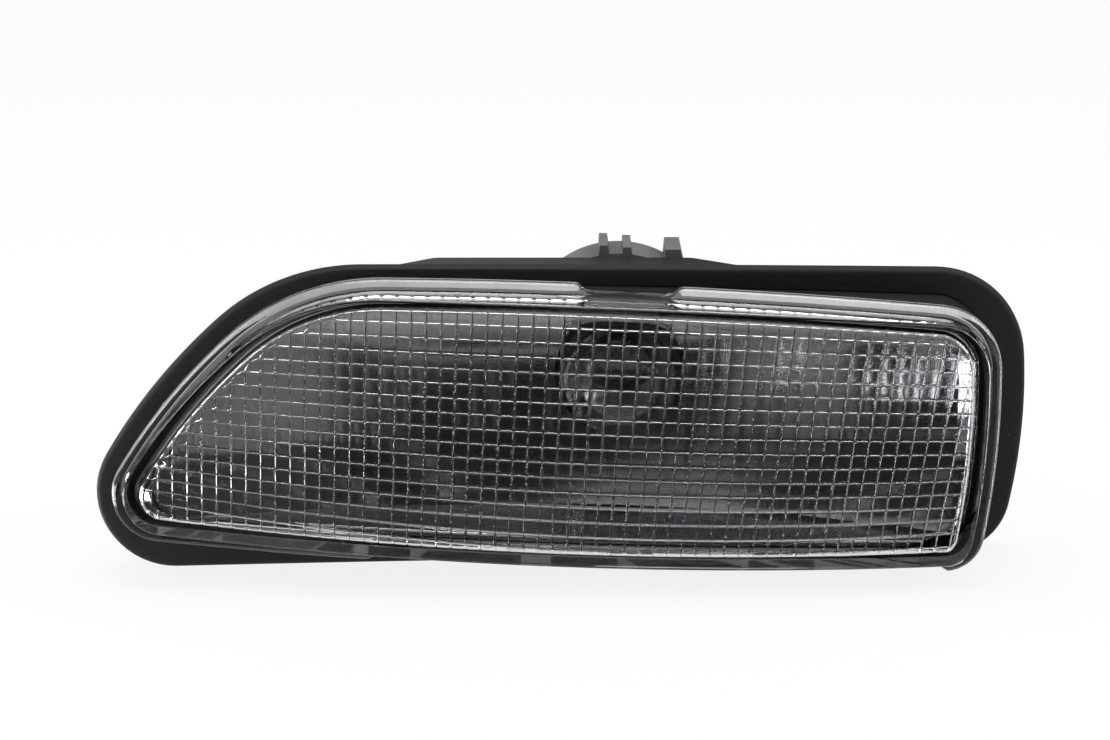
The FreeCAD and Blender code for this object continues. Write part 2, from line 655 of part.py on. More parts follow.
reflector_block = loft(
    "reflector_block",
    outline("mirror_front", "reflector_front", out_a, out_a, out_a),
    outline("mirror_back", draft_y, out_b, out_b, out_a),
)
reflector_room = loft(
    "reflector_room",
    outline("glow_front", "reflector_front", in_a, in_a, in_a),
    outline("glow_back", draft_y, in_b, in_b, in_a),
)
reflector_skin = cut(
    "reflector_skin",
    common("reflector_body", reflector_block, dish("dish_back", "reflector_wall")),
    common("reflector_hollow", reflector_room, dish("dish_face", "0")),
)
neck_length = "bowl_back - back_wall - dish_depth"
neck_tube = cut(
    "neck_tube",
    cylinder("neck_outer", lug_tip + " + lug_room + neck_wall", neck_length, y="dish_depth"),
    cylinder("neck_inner", lug_tip + " + lug_room", "bowl_back", y="dish_depth - cut_over"),
)
neck_room = dish("neck_room", "reflector_wall / 2")
reflector = cut(
    "reflector",
    fuse("reflector_solid", reflector_skin, cut("neck_fitted", neck_tube, neck_room)),
    cylinder("dish_opening", "dish_hole", "bowl_back"),
)

# Bulb holder: turned drum and grip, with lugs, ribs, a bulb socket and a plug
socket_bore = "cap_radius + cap_fit"
socket_out = socket_bore + " + socket_wall"
grip_front = "bowl_back + seal_play + holder_seal_thick"
lug_back = "bowl_back - back_wall - lug_play"
cap_back = "cap_front + cap_length"
leaf_y = cap_back + " + plate_thick + button_thick + strip_play"
floor_y = leaf_y + " + strip_thick + strip_play"
plug_end = floor_y + " + plug_length"
holder_drum = turned(
    "holder_drum",
    [
        (socket_bore, "socket_front"),
        (socket_out, "socket_front"),
        (socket_out, lug_back + " - lug_thick"),
        ("opening_radius", lug_back + " - lug_thick"),
        ("opening_radius", grip_front),
        ("grip_radius", grip_front),
        ("grip_radius", grip_front + " + grip_length"),
        ("grip_radius - grip_wall", grip_front + " + grip_length"),
        ("grip_radius - grip_wall", grip_front + " + grip_floor"),
        (socket_out, grip_front + " + grip_floor"),
        (socket_out, floor_y + " + plug_floor"),
        ("0", floor_y + " + plug_floor"),
        ("0", floor_y),
        (socket_bore, floor_y),
    ],
)
lug_front = lug_back + " - lug_thick"
lugs = []
for k, turn in enumerate(lug_turns):
    name = "lug_%d" % k
    lugs.append(spoke(name, turn, "opening_radius - lug_root", lug_tip, lug_front, "lug_thick", "lug_width"))
ribs = []
for group in range(int(size("rib_groups"))):
    for rib in ("rib_a", "rib_b", "rib_c"):
        foot = (rib, rib + " + %s_width" % rib)
        tip = (rib + " + %s_lean" % rib, rib + " + %s_lean + %s_tip" % (rib, rib))
        turn = full_turn / size("rib_groups") * group
        name = "%s_%d" % (rib, group)
        ribs.append(fin(name, turn, foot, tip, "rib_foot", rib + "_top", grip_front, "grip_length"))
grip_room = cut(
    "grip_room",
    cylinder("grip_bore", "grip_radius - grip_wall", "plug_length", y=grip_front + " + grip_floor"),
    cylinder("grip_core", socket_out, "2 * plug_length", y=grip_front),
)
plug_shroud = box("plug_shroud", "bulb_x", floor_y, "bulb_z", "plug_width", "plug_length", "plug_height")
plug_room = box(
    "plug_room",
    "bulb_x",
    floor_y + " + plug_floor",
    "bulb_z",
    "plug_width - 2 * plug_wall",
    "plug_length",
    "plug_height - 2 * plug_wall",
)
pin_y = "cap_front + pin_back"
hook_steps = int(size("hook_steps"))
pin_turns = (90, 270)
pin_slots = []
for side, pin_turn in enumerate(pin_turns):
    for k in range(hook_steps):
        turn = pin_turn + size("pin_turn") * k / (hook_steps - 1)
        last = k == hook_steps - 1
        start = "socket_front - cut_over" if last else pin_y + " - slot_width / 2"
        depth = pin_y + " + slot_width / 2 - socket_front + cut_over" if last else "slot_width"
        name = "pin_slot_%d_%d" % (side, k)
        pin_slots.append(spoke(name, turn, "0", socket_bore + " + slot_depth", start, depth, "slot_width"))
tongue_z = "bulb_z + cap_radius + strip_play + strip_thick / 2"
tongue_top = "cap_radius + strip_thick + 2 * strip_play"
tongue_y = leaf_y + " - tongue_length"
earth_x = "bulb_x + blade_pitch / 2"
live_x = "bulb_x - blade_pitch / 2"
tongue_room = box(
    "tongue_room",
    earth_x,
    tongue_y + " - strip_play",
    "bulb_z + ( %s ) / 2" % tongue_top,
    "blade_width + 2 * strip_play",
    "tongue_length + strip_thick + 2 * strip_play",
    tongue_top,
)
blade_slots = [
    box(
        name,
        x,
        floor_y + " - cut_over",
        "bulb_z",
        "blade_width + 2 * strip_play",
        "plug_floor + 2 * cut_over",
        "blade_thick + 2 * strip_play",
    )
    for name, x in (("earth_slot", earth_x), ("live_slot", live_x))
]
bulb_holder = cut(
    "bulb_holder",
    fuse("holder_solid", holder_drum, plug_shroud, *lugs, *ribs),
    fuse("holder_holes", plug_room, tongue_room, grip_room, *pin_slots, *blade_slots),
)

# Rubber ring between the holder's grip and the back of the housing
seal_bore = lug_tip + " + 2 * fit_gap"
holder_seal = turned(
    "holder_seal",
    [
        (seal_bore, "bowl_back + seal_play"),
        (seal_bore + " + holder_seal_width", "bowl_back + seal_play"),
        (seal_bore + " + holder_seal_width", grip_front),
        (seal_bore, grip_front),
    ],
)

# Stamped contacts: a leaf under the bulb's button and a tongue beside its cap, each with its blade
leaf_tip = "button_radius / 2"
leaf_width = "blade_pitch / 2 + blade_width / 2 + " + leaf_tip
live_contact = fuse(
    "live_contact",
    box(
        "live_leaf",
        "bulb_x + %s - ( %s ) / 2" % (leaf_tip, leaf_width),
        leaf_y,
        "bulb_z",
        leaf_width,
        "strip_thick",
        "blade_width",
    ),
    box("live_blade", live_x, leaf_y, "bulb_z", "blade_width", "plug_floor + blade_length", "blade_thick"),
)
earth_drop = "cap_radius + strip_play + strip_thick + blade_thick / 2"
tongue_run = "tongue_length + strip_thick"
earth_contact = fuse(
    "earth_contact",
    box("earth_tongue", earth_x, tongue_y, tongue_z, "blade_width", tongue_run, "strip_thick"),
    box(
        "earth_foot",
        earth_x,
        leaf_y,
        "bulb_z - blade_thick / 2 + ( %s ) / 2" % earth_drop,
        "blade_width",
        "strip_thick",
        earth_drop,
    ),
    box("earth_blade", earth_x, leaf_y, "bulb_z", "blade_width", "plug_floor + blade_length", "blade_thick"),
)

# Bulb: hollow glass on a stem with two leads and a filament, in a bayonet cap with its base plate and button
glass_neck = "cap_radius - cap_wall - glass_fit"
taper_end = "globe_y + globe_radius + globe_taper"


def glass_form(name, skin):
    # ball, taper and neck of the glass, thinner all round by skin
    ball = named("Part::Sphere", name + "_ball")
    bind(
        ball,
        Radius="globe_radius - ( %s )" % skin,
        Placement__Base__x="bulb_x",
        Placement__Base__y="globe_y",
        Placement__Base__z="bulb_z",
    )
    taper = named("Part::Cone", name + "_taper")
    taper.Placement = FreeCAD.Placement(vec(), FreeCAD.Rotation(vec(1, 0, 0), -90))
    bind(
        taper,
        Radius1="( globe_radius - ( %s ) ) * taper_out" % skin,
        Radius2=glass_neck + " - ( %s )" % skin,
        Height=taper_end + " - globe_y - ( globe_radius - ( %s ) ) * taper_back" % skin,
        Placement__Base__x="bulb_x",
        Placement__Base__y="globe_y + ( globe_radius - ( %s ) ) * taper_back" % skin,
        Placement__Base__z="bulb_z",
    )
    neck = cylinder(
        name + "_neck",
        glass_neck + " - ( %s )" % skin,
        "cap_front + glass_inset - globe_y - globe_radius + ( %s )" % skin,
        y="globe_y + globe_radius",
    )
    return fuse(name, ball, taper, neck)


bulb_glass = cut("bulb_glass", glass_form("glass_outside", "0"), glass_form("glass_inside", "globe_wall"))
glass_end = "cap_front + glass_inset"
stem_top = glass_end + " - stem_length"
bulb_stem = turned(
    "bulb_stem",
    [
        ("0", stem_top),
        ("stem_radius", stem_top),
        ("stem_radius", glass_end + " - stem_foot"),
        (glass_neck + " - globe_wall - glass_fit", glass_end + " - stem_foot"),
        (glass_neck + " - globe_wall - glass_fit", glass_end),
        ("0", glass_end),
    ],
)
lead_y = stem_top + " - lead_length"
filament_leads = fuse(
    "filament_leads",
    cylinder("lead_left", "lead_radius", "lead_length", "bulb_x - lead_spread", lead_y),
    cylinder("lead_right", "lead_radius", "lead_length", "bulb_x + lead_spread", lead_y),
)
filament = named("Part::Cylinder", "filament")
filament.Placement = FreeCAD.Placement(vec(), FreeCAD.Rotation(vec(0, 1, 0), 90))
filament_length = "2 * ( lead_spread - lead_radius )"
bind(
    filament,
    Radius="filament_radius",
    Height=filament_length,
    Placement__Base__x="bulb_x - lead_spread + lead_radius",
    Placement__Base__y=stem_top + " - lead_length + filament_radius",
    Placement__Base__z="bulb_z",
)
bulb_cap = turned(
    "bulb_cap",
    [
        ("cap_radius - cap_wall", "cap_front"),
        ("cap_radius", "cap_front"),
        ("cap_radius", cap_back + " - cap_wall"),
        ("cap_radius - cap_wall", cap_back),
        ("cap_hole", cap_back),
        ("cap_hole", cap_back + " - cap_wall"),
        ("cap_radius - cap_wall", cap_back + " - 2 * cap_wall"),
    ],
)
pins = []
for side, pin_turn in enumerate(pin_turns):
    pin = named("Part::Cylinder", "bulb_pin_%d" % side)
    bind(pin, Radius="pin_radius", Height="pin_reach")
    out = FreeCAD.Placement(vec(0, 0, size("cap_radius")), FreeCAD.Rotation())
    axis = vec(size("bulb_x"), worth(pin_y), size("bulb_z"))
    pin.Placement = FreeCAD.Placement(axis, FreeCAD.Rotation(vec(0, 1, 0), pin_turn)) * out
    pins.append(pin)
bulb_pins = fuse("bulb_pins", *pins)
bulb_insulator = turned(
    "bulb_insulator",
    [
        ("0", cap_back + " - 3 * cap_wall"),
        ("cap_hole - glass_fit", cap_back + " - 3 * cap_wall"),
        ("cap_hole - glass_fit", cap_back),
        ("plate_tip", cap_back + " + plate_thick"),
        ("0", cap_back + " + plate_thick"),
    ],
)
bulb_contact = turned(
    "bulb_contact",
    [
        ("0", cap_back + " + plate_thick"),
        ("button_radius", cap_back + " + plate_thick"),
        ("button_tip", cap_back + " + plate_thick + button_thick"),
        ("0", cap_back + " + plate_thick + button_thick"),
    ],
)

# Rubber breather elbow pushed over the vent spout, its mouth pointing down
elbow_radius = "spout_radius + elbow_fit + elbow_wall"
elbow_front = "spout_back - elbow_grip"
elbow_bend = "spout_back + spout_radius"


def drop_tube(name, radius, length):
    item = named("Part::Cylinder", name)
    item.Placement = FreeCAD.Placement(vec(), FreeCAD.Rotation(vec(1, 0, 0), 180))
    return bind(
        item,
        Radius=radius,
        Height=length,
        Placement__Base__x="vent_x",
        Placement__Base__y=elbow_bend,
        Placement__Base__z="vent_z",
    )


sleeve_length = elbow_bend + " - ( %s )" % elbow_front
socket_y = elbow_front + " - cut_over"
socket_run = "elbow_grip + cut_over"
way_y = "spout_back - cut_over"
elbow_knee = named("Part::Sphere", "elbow_knee")
bind(
    elbow_knee,
    Radius=elbow_radius,
    Placement__Base__x="vent_x",
    Placement__Base__y=elbow_bend,
    Placement__Base__z="vent_z",
)
vent_elbow = cut(
    "vent_elbow",
    fuse(
        "elbow_solid",
        cylinder("elbow_sleeve", elbow_radius, sleeve_length, "vent_x", elbow_front, "vent_z"),
        elbow_knee,
        drop_tube("elbow_tube", elbow_radius, "elbow_drop"),
    ),
    fuse(
        "elbow_bore",
        cylinder("elbow_socket", "spout_radius + elbow_fit", socket_run, "vent_x", socket_y, "vent_z"),
        cylinder("elbow_way", "spout_bore", "spout_radius + cut_over", "vent_x", way_y, "vent_z"),
        drop_tube("elbow_mouth", "spout_bore", "elbow_drop + cut_over"),
    ),
)

doc.recompute()

# Check and write
nodes = [lens, lens_seal, gasket, housing, reflector, bulb_holder, holder_seal, live_contact, earth_contact]
nodes += [bulb_glass, bulb_stem, filament_leads, filament, bulb_cap, bulb_pins, bulb_insulator, bulb_contact]
nodes += [vent_elbow]
for item in doc.Objects:
    if "Invalid" in item.State or "Error" in item.State:
        raise RuntimeError("failed: %s %s" % (item.Label, item.State))
os.makedirs("parts", exist_ok=True)
for item in nodes:
    if item.Shape.isNull() or not item.Shape.isValid():
        raise RuntimeError("bad shape: %s" % item.Label)
    print(item.Label, len(item.Shape.Solids), round(item.Shape.Volume, 1))
    item.Shape.exportStep("parts/%s.step" % item.Label)
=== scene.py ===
import json
import math

import bmesh
import bpy
import numpy as np
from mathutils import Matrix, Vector


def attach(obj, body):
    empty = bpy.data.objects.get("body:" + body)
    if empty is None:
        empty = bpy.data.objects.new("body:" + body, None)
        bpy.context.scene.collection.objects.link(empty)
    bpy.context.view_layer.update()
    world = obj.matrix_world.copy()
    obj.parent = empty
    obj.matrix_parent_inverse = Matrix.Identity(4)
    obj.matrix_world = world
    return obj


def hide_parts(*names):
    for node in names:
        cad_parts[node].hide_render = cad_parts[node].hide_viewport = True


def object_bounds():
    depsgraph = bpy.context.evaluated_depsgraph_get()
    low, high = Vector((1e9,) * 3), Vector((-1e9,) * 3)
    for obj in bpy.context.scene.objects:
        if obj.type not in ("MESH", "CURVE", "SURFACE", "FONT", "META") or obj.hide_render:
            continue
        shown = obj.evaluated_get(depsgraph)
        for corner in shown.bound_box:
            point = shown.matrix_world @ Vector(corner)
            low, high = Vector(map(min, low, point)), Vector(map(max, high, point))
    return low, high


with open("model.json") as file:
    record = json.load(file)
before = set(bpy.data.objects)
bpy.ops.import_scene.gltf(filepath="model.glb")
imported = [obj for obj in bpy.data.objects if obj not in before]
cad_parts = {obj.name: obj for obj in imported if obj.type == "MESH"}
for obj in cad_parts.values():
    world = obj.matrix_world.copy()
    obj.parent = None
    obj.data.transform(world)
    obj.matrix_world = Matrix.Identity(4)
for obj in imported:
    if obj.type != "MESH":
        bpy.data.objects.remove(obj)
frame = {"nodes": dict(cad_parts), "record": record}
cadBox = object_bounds()
mm = 0.001
print("stage: frame loaded")


# meshes: points in millimetres, faces as blocks of corner numbers

def addPiece(name, points, faceBlocks, body, slotName, replaced, creaseAngle, sealed=False):
    mesh = bpy.data.meshes.new(name)
    faces = [face for block in faceBlocks for face in block.tolist()]
    mesh.from_pydata((points * mm).tolist(), [], faces)
    mesh.update()
    if sealed:
        # open loops are joined by a band of faces, then all faces are turned outwards
        work = bmesh.new()
        work.from_mesh(mesh)
        openEdges = [edge for edge in work.edges if edge.is_boundary]
        if openEdges:
            bmesh.ops.bridge_loops(work, edges=openEdges)
        bmesh.ops.recalc_face_normals(work, faces=work.faces[:])
        work.to_mesh(mesh)
        work.free()
    mesh.polygons.foreach_set("use_smooth", np.ones(len(mesh.polygons), bool))
    mesh.set_sharp_from_angle(angle=math.radians(creaseAngle))
    piece = bpy.data.objects.new(name, mesh)
    bpy.context.scene.collection.objects.link(piece)
    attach(piece, body)
    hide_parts(*replaced)
    mesh.materials.append(looks[slotName])
    return piece


def gridFaces(rows, cols, flip=False, looped=False):
    # quads between rows of points, each row a closed ring; looped joins the last row to the first
    r, c = np.meshgrid(np.arange(rows if looped else rows - 1), np.arange(cols), indexing="ij")
    beside = (c + 1) % cols
    below = (r + 1) % rows
    quads = np.stack([r * cols + c, r * cols + beside, below * cols + beside, below * cols + c], -1)
    quads = quads.reshape(-1, 4)
    return quads[:, ::-1] if flip else quads


def poleFaces(pole, start, cols, flip=False):
    # triangles from one point to a ring of points that begins at start
    c = np.arange(cols)
    fan = np.stack([np.full(cols, pole), start + c, start + (c + 1) % cols], -1)
    return fan[:, ::-1] if flip else fan


# outlines: four side arcs and the corner arcs that touch them, as points with outward normals
outline = {
    "sideCounts": (40, 110, 44, 130), "cornerCount": 18,
    "cornerPlaces": ((80, 10), (-40, 10), (-80, -20), (80, -20)),  # roughly, to choose between two crossings
}


def sideArc(x, z, facing, radius, sign=1):
    # centre, radius and sign of the arc through x, z that faces that way in degrees: its centre lies
    # one radius behind the point, or in front of it with sign -1, which bows the side inwards
    turn = math.radians(facing)
    return x - sign * radius * math.cos(turn), z - sign * radius * math.sin(turn), radius, sign


def cornerCentre(sideA, sideB, radius, near):
    # where the two sides' circles, both moved inwards by the corner's radius, cross
    centreA = np.array(sideA[:2])
    between = np.array(sideB[:2]) - centreA
    gap = np.hypot(*between)
    radiusA = sideA[2] - sideA[3] * radius
    radiusB = sideB[2] - sideB[3] * radius
    along = (gap ** 2 + radiusA ** 2 - radiusB ** 2) / (2 * gap)
    aside = math.sqrt(radiusA ** 2 - along ** 2)
    foot = centreA + between * along / gap
    shift = np.array([-between[1], between[0]]) * aside / gap
    crossings = np.stack([foot + shift, foot - shift])
    return crossings[np.argmin(np.hypot(*(crossings - near).T))]


def touchPoint(side, corner):
    # where a corner's arc touches a side: one radius out on the line of the two centres
    centre = np.array(side[:2])
    return centre + (corner - centre) * side[2] / np.hypot(*(corner - centre))


def arcRun(centre, radius, start, end, sign, count):
    # points at even angles from start to just before end, clockwise with sign -1
    first = math.atan2(start[1] - centre[1], start[0] - centre[0])
    last = math.atan2(end[1] - centre[1], end[0] - centre[0])
    sweep = sign * ((sign * (last - first)) % (2 * math.pi))
    angle = first + sweep * np.arange(count) / count
    normal = np.stack([np.cos(angle), np.sin(angle)], -1)
    return np.array(centre) + radius * normal, sign * normal


def outlineRing(sides, corners):
    # each side's run is followed by the run of the corner after it
    after = sides[1:] + sides[:1]
    centres = [cornerCentre(*parts) for parts in zip(sides, after, corners, outline["cornerPlaces"])]
    runs = []
    for i, side in enumerate(sides):
        start = touchPoint(side, centres[i - 1])
        end = touchPoint(side, centres[i])
        runs.append(arcRun(side[:2], side[2], start, end, side[3], outline["sideCounts"][i]))
        turnEnd = touchPoint(after[i], centres[i])
        runs.append(arcRun(centres[i], corners[i], end, turnEnd, 1, outline["cornerCount"]))
    spots, normals = zip(*runs)
    return np.concatenate(spots), np.concatenate(normals), centres


# lens's lip and gasket's rim: a point of each side, the way it faces, and its radius
lip = {
    "right": (95.1, 4.0, 0, 200.0), "top": (-53.0, 30.15, 90, 1500.0),
    "left": (-83.1, 4.7, 140, 130.0), "bottom": (50.0, -36.5, -90, 1300.0),
    "corners": (14.8, 50.0, 11.0, 9.0),
}
rim = {
    "right": (102.7, -2.0, 0, 125.0), "top": (-40.0, 31.6, 90, 1900.0),
    "leftWidth": 3.2, "bottom": (-12.0, -34.6, -90, 1500.0, -1),
    "corners": (22.0, 46.0, 16.5, 13.0),
}
lipSides = [sideArc(*lip[name]) for name in ("right", "top", "left", "bottom")]
leftX, leftZ, leftRadius, leftSign = lipSides[2]
rimLeft = (leftX, leftZ, leftRadius + rim["leftWidth"], leftSign)  # round the same centre as the lip
rimSides = [sideArc(*rim["right"]), sideArc(*rim["top"]), rimLeft, sideArc(*rim["bottom"])]
lipSpots, lipNormals, lipCentres = outlineRing(lipSides, lip["corners"])
rimSpots = outlineRing(rimSides, rim["corners"])[0]
ringCount = len(lipSpots)


def ring(offset, y):
    # the lip outline moved outwards by offset, at depth y; both may be arrays along the outline
    moved = lipSpots + lipNormals * np.reshape(offset, (-1, 1))
    return np.stack([moved[:, 0], np.broadcast_to(y, ringCount), moved[:, 1]], -1)


def insideDepth(x, z):
    # how far inside the lip outline each point lies, and the outward normal of the nearest stretch:
    # a side's radius less the distance from its centre, or a corner's in the wedge beyond its centre
    depth = np.full(x.shape, np.inf)
    normal = np.zeros(x.shape + (2,))
    for cx, cz, radius, sign in lipSides:
        away = np.hypot(x - cx, z - cz)
        nearer = radius - away < depth
        depth = np.where(nearer, radius - away, depth)
        direction = np.stack([(x - cx) / away, (z - cz) / away], -1)
        normal = np.where(nearer[..., None], direction, normal)
    for i, (cx, cz) in enumerate(lipCentres):
        wayA = (cx, cz) - np.array(lipSides[i][:2])
        wayB = (cx, cz) - np.array(lipSides[(i + 1) % 4][:2])
        pastA = wayA[0] * (z - cz) - wayA[1] * (x - cx) > 0
        beforeB = wayB[0] * (z - cz) - wayB[1] * (x - cx) < 0
        away = np.maximum(np.hypot(x - cx, z - cz), 1e-6)
        depth = np.where(pastA & beforeB, lip["corners"][i] - away, depth)
        direction = np.stack([(x - cx) / away, (z - cz) / away], -1)
        normal = np.where((pastA & beforeB)[..., None], direction, normal)
    return depth, normal


# materials: noise over Object coordinates drives colour and roughness, a finer one the bump
finish = {
    "detail": 5.0, "firstStop": 0.3, "secondStop": 0.72, "dustStop": 0.77,
    "grainScale": 1600.0, "grainDetail": 3.0, "grainHeight": 0.0002,
}


def newMaterial(name, color, second, rough, metallic=0.0, scale=200.0, bump=0.0, dust=None, index=None):
    material = bpy.data.materials.new(name)
    material.use_nodes = True
    nodes, links = material.node_tree.nodes, material.node_tree.links
    shader = nodes["Principled BSDF"]
    shader.inputs["Metallic"].default_value = metallic
    if index:
        # clear, with this index of refraction
        shader.inputs["Transmission Weight"].default_value = 1.0
        shader.inputs["IOR"].default_value = index
    place = nodes.new("ShaderNodeTexCoord")
    noise = nodes.new("ShaderNodeTexNoise")
    noise.inputs["Scale"].default_value = scale
    noise.inputs["Detail"].default_value = finish["detail"]
    links.new(place.outputs["Object"], noise.inputs["Vector"])
    ramp = nodes.new("ShaderNodeValToRGB")
    stops = ramp.color_ramp.elements
    stops[0].position = finish["firstStop"]
    stops[1].position = finish["secondStop"]
    stops[0].color = (*color, 1)
    stops[1].color = (*second, 1)
    if dust:
        # the highest few points of the noise turn pale
        stops.new(finish["dustStop"]).color = (*dust, 1)
    links.new(noise.outputs["Fac"], ramp.inputs["Fac"])
    links.new(ramp.outputs["Color"], shader.inputs["Base Color"])
    spread = nodes.new("ShaderNodeMapRange")
    spread.inputs["To Min"].default_value = rough[0]
    spread.inputs["To Max"].default_value = rough[1]
    links.new(noise.outputs["Fac"], spread.inputs["Value"])
    links.new(spread.outputs["Result"], shader.inputs["Roughness"])
    if bump:
        grain = nodes.new("ShaderNodeTexNoise")
        grain.inputs["Scale"].default_value = finish["grainScale"]
        grain.inputs["Detail"].default_value = finish["grainDetail"]
        links.new(place.outputs["Object"], grain.inputs["Vector"])
        raised = nodes.new("ShaderNodeBump")
        raised.inputs["Strength"].default_value = bump
        raised.inputs["Distance"].default_value = finish["grainHeight"]
        links.new(grain.outputs["Fac"], raised.inputs["Height"])
        links.new(raised.outputs["Normal"], shader.inputs["Normal"])
    return material


looks = {
    "clear_lens": newMaterial(
        "clearLens", (0.97, 0.975, 0.985), (1, 1, 1), (0.0, 0.03), scale=60, index=1.49),
    "adhesive": newMaterial("adhesive", (0.5, 0.5, 0.51), (0.6, 0.6, 0.61), (0.6, 0.8)),
    "black_rubber": newMaterial(
        "blackRubber", (0.006, 0.006, 0.007), (0.011, 0.011, 0.0125), (0.6, 0.8), scale=900, bump=0.35,
        dust=(0.06, 0.06, 0.064)),
    "black_plastic": newMaterial(
        "blackPlastic", (0.006, 0.006, 0.007), (0.01, 0.01, 0.0115), (0.42, 0.6), bump=0.25),
    # the metallised coating is kept dark, far below bright aluminium: painted shade standing in for the dark
    # surroundings its mirror reflects
    "metallised": newMaterial(
        "metallised", (0.38, 0.38, 0.39), (0.45, 0.45, 0.46), (0.05, 0.1), metallic=1.0, scale=40),
    "grey_plastic": newMaterial(
        "greyPlastic", (0.13, 0.13, 0.135), (0.18, 0.18, 0.187), (0.45, 0.6), bump=0.25),
    "contact_brass": newMaterial(
        "contactBrass", (0.6, 0.44, 0.2), (0.7, 0.55, 0.3), (0.25, 0.4), metallic=1.0),
    "bulb_glass": newMaterial(
        "bulbGlass", (0.97, 0.97, 0.97), (1, 1, 1), (0.0, 0.02), scale=80, index=1.5),
    "lead_wire": newMaterial(
        "leadWire", (0.42, 0.42, 0.43), (0.55, 0.55, 0.55), (0.3, 0.45), metallic=1.0),
    "tungsten": newMaterial(
        "tungsten", (0.2, 0.2, 0.21), (0.3, 0.3, 0.31), (0.4, 0.55), metallic=1.0),
    "cap_brass": newMaterial(
        "capBrass", (0.66, 0.52, 0.28), (0.76, 0.63, 0.38), (0.2, 0.35), metallic=1.0),
    "black_glass": newMaterial("blackGlass", (0.01, 0.01, 0.01), (0.02, 0.02, 0.02), (0.1, 0.2)),
    "solder": newMaterial("solder", (0.5, 0.5, 0.51), (0.62, 0.62, 0.63), (0.35, 0.5), metallic=1.0),
}
slots = {s["node"]: s["material_slot"] for s in frame["record"]["subparts"]}
for node, item in frame["nodes"].items():
    item.data.materials.clear()
    item.data.materials.append(looks[slots[node]])
print("stage: materials")


# lens: drafted wall with a broken lip and a domed front
lens = {
    "depth": 10.0, "dome": 1000.0, "domeX": 10.0, "edge": 0.7, "edgeSteps": 5,
    "middle": (5.0, -3.0), "frontShares": (0.04, 0.2, 0.36, 0.52, 0.68, 0.84),
    "draftLevel": 1.5, "draftSide": 0.9, "draftPower": 1.5, "draftLength": 12.0,
    "wallRows": (-6.0, -4.0, -3.3), "lipWidth": 2.0, "lipDepth": 3.0, "lipRound": 1.1, "lipSteps": 10,
    "topGap": (15.0, 20.0, 1.6), "lowGap": (21.5, 123.0, 3.0),  # middle, width and slant of the ends
}
# pillow optics inside the lens, in columns and rows that fan out and lean to the right
optic = {
    "pitch": 3.18, "rows": 19.6, "columns": (-33, 33), "levels": (-6, 23), "skin": 2.0, "wall": 2.2,
    "height": 0.25, "soft": 0.17, "corner": 0.34, "scallop": 0.35, "fillet": 1.2, "filletSteps": 4,
    "cellShares": (0.0, 0.013, 0.0425, 0.085, 0.17, 0.83, 0.915, 0.9575, 0.987),
    "fanX": 40.0, "fanRadius": 700.0,
    "leanLow": 0.02, "leanGain": 0.147, "leanFrom": -70.0, "leanSpan": 156.0,
}


def domeY(x, z):
    # minus the depth, plus the squared distance from the dome's top over twice its radius
    return -lens["depth"] + ((x - lens["domeX"]) ** 2 + z ** 2) / (2 * lens["dome"])


def draftOf(normal):
    # draft over the draft length: more at the two ends than at top and bottom
    return lens["draftLevel"] + lens["draftSide"] * np.abs(normal[..., 0]) ** lens["draftPower"]


def gapShare(x, gap):
    # 0 inside a gap of the lip, rising to 1 over its slanted end
    middle, width, slant = gap
    return np.clip((np.abs(x - middle) - width / 2 + slant / 2) / slant, 0, 1)


draft = draftOf(lipNormals)


def wallAt(y):
    # offset of the outer wall at depth y: in by the lip's width and by the draft's share of the depth
    return -lens["lipWidth"] - draft * np.abs(y) / lens["draftLength"]


frontGuess = ring(-lens["lipWidth"] - draft, 0)
frontY = domeY(frontGuess[:, 0], frontGuess[:, 2])
wallTop = wallAt(frontY)
# front: the edge's ring drawn in towards the middle, on the dome
middle = np.array(lens["middle"])
frontEdge = ring(wallTop - lens["edge"], 0)[:, [0, 2]]
lensRows = []
for share in lens["frontShares"]:
    flat = middle + share * (frontEdge - middle)
    lensRows.append(np.stack([flat[:, 0], domeY(flat[:, 0], flat[:, 1]), flat[:, 1]], -1))
# edge: a quarter turn from the front to the wall
for turn in np.linspace(0, math.pi / 2, lens["edgeSteps"]):
    inwards = lens["edge"] * (1 - math.sin(turn))
    lensRows.append(ring(wallTop - inwards, frontY + lens["edge"] * (1 - math.cos(turn))))
for y in lens["wallRows"]:
    lensRows.append(ring(wallAt(y), np.maximum(y, frontY + lens["edge"])))
lensRows.append(ring(wallAt(-lens["lipDepth"]), -lens["lipDepth"]))
# lip: half round, out from the wall by its width where it isn't broken, and back to the base
topShare = gapShare(lipSpots[:, 0], lens["topGap"])
lowShare = gapShare(lipSpots[:, 0], lens["lowGap"])
lipReach = lens["lipWidth"] * np.where(lipSpots[:, 1] > 0, topShare, lowShare)
lipBend = np.minimum(lens["lipRound"], lipReach)
for turn in np.linspace(0, math.pi, lens["lipSteps"]):
    y = -lens["lipDepth"] / 2 * (1 + math.cos(turn))
    lensRows.append(ring(wallAt(y) + lipReach - lipBend * (1 - math.sin(turn)), y))
pole = np.array([[middle[0], domeY(*middle), middle[1]]])
outer = np.concatenate(lensRows + [pole])
outerFaces = gridFaces(len(lensRows), ringCount, flip=True)
frontFan = poleFaces(len(outer) - 1, 0, ringCount)

# optics: u and v count columns and rows; rows are spread between the lip's top and a fanned bottom line
cellShares = np.array(optic["cellShares"])
columns = (np.arange(*optic["columns"])[:, None] + cellShares).ravel()
levels = (np.arange(*optic["levels"])[:, None] + cellShares).ravel()
u, v = np.meshgrid(columns, levels, indexing="ij")
topX, topZ, topFacing, topRadius = lip["top"]
x = u * optic["pitch"]
topLine = topZ - (x - topX) ** 2 / (2 * topRadius)
bottomLine = lip["bottom"][1] + (x - optic["fanX"]) ** 2 / (2 * optic["fanRadius"])
z = bottomLine + (topLine - bottomLine) * v / optic["rows"]
x = x + z * (optic["leanLow"] + optic["leanGain"] * ((x - optic["leanFrom"]) / optic["leanSpan"]) ** 2)
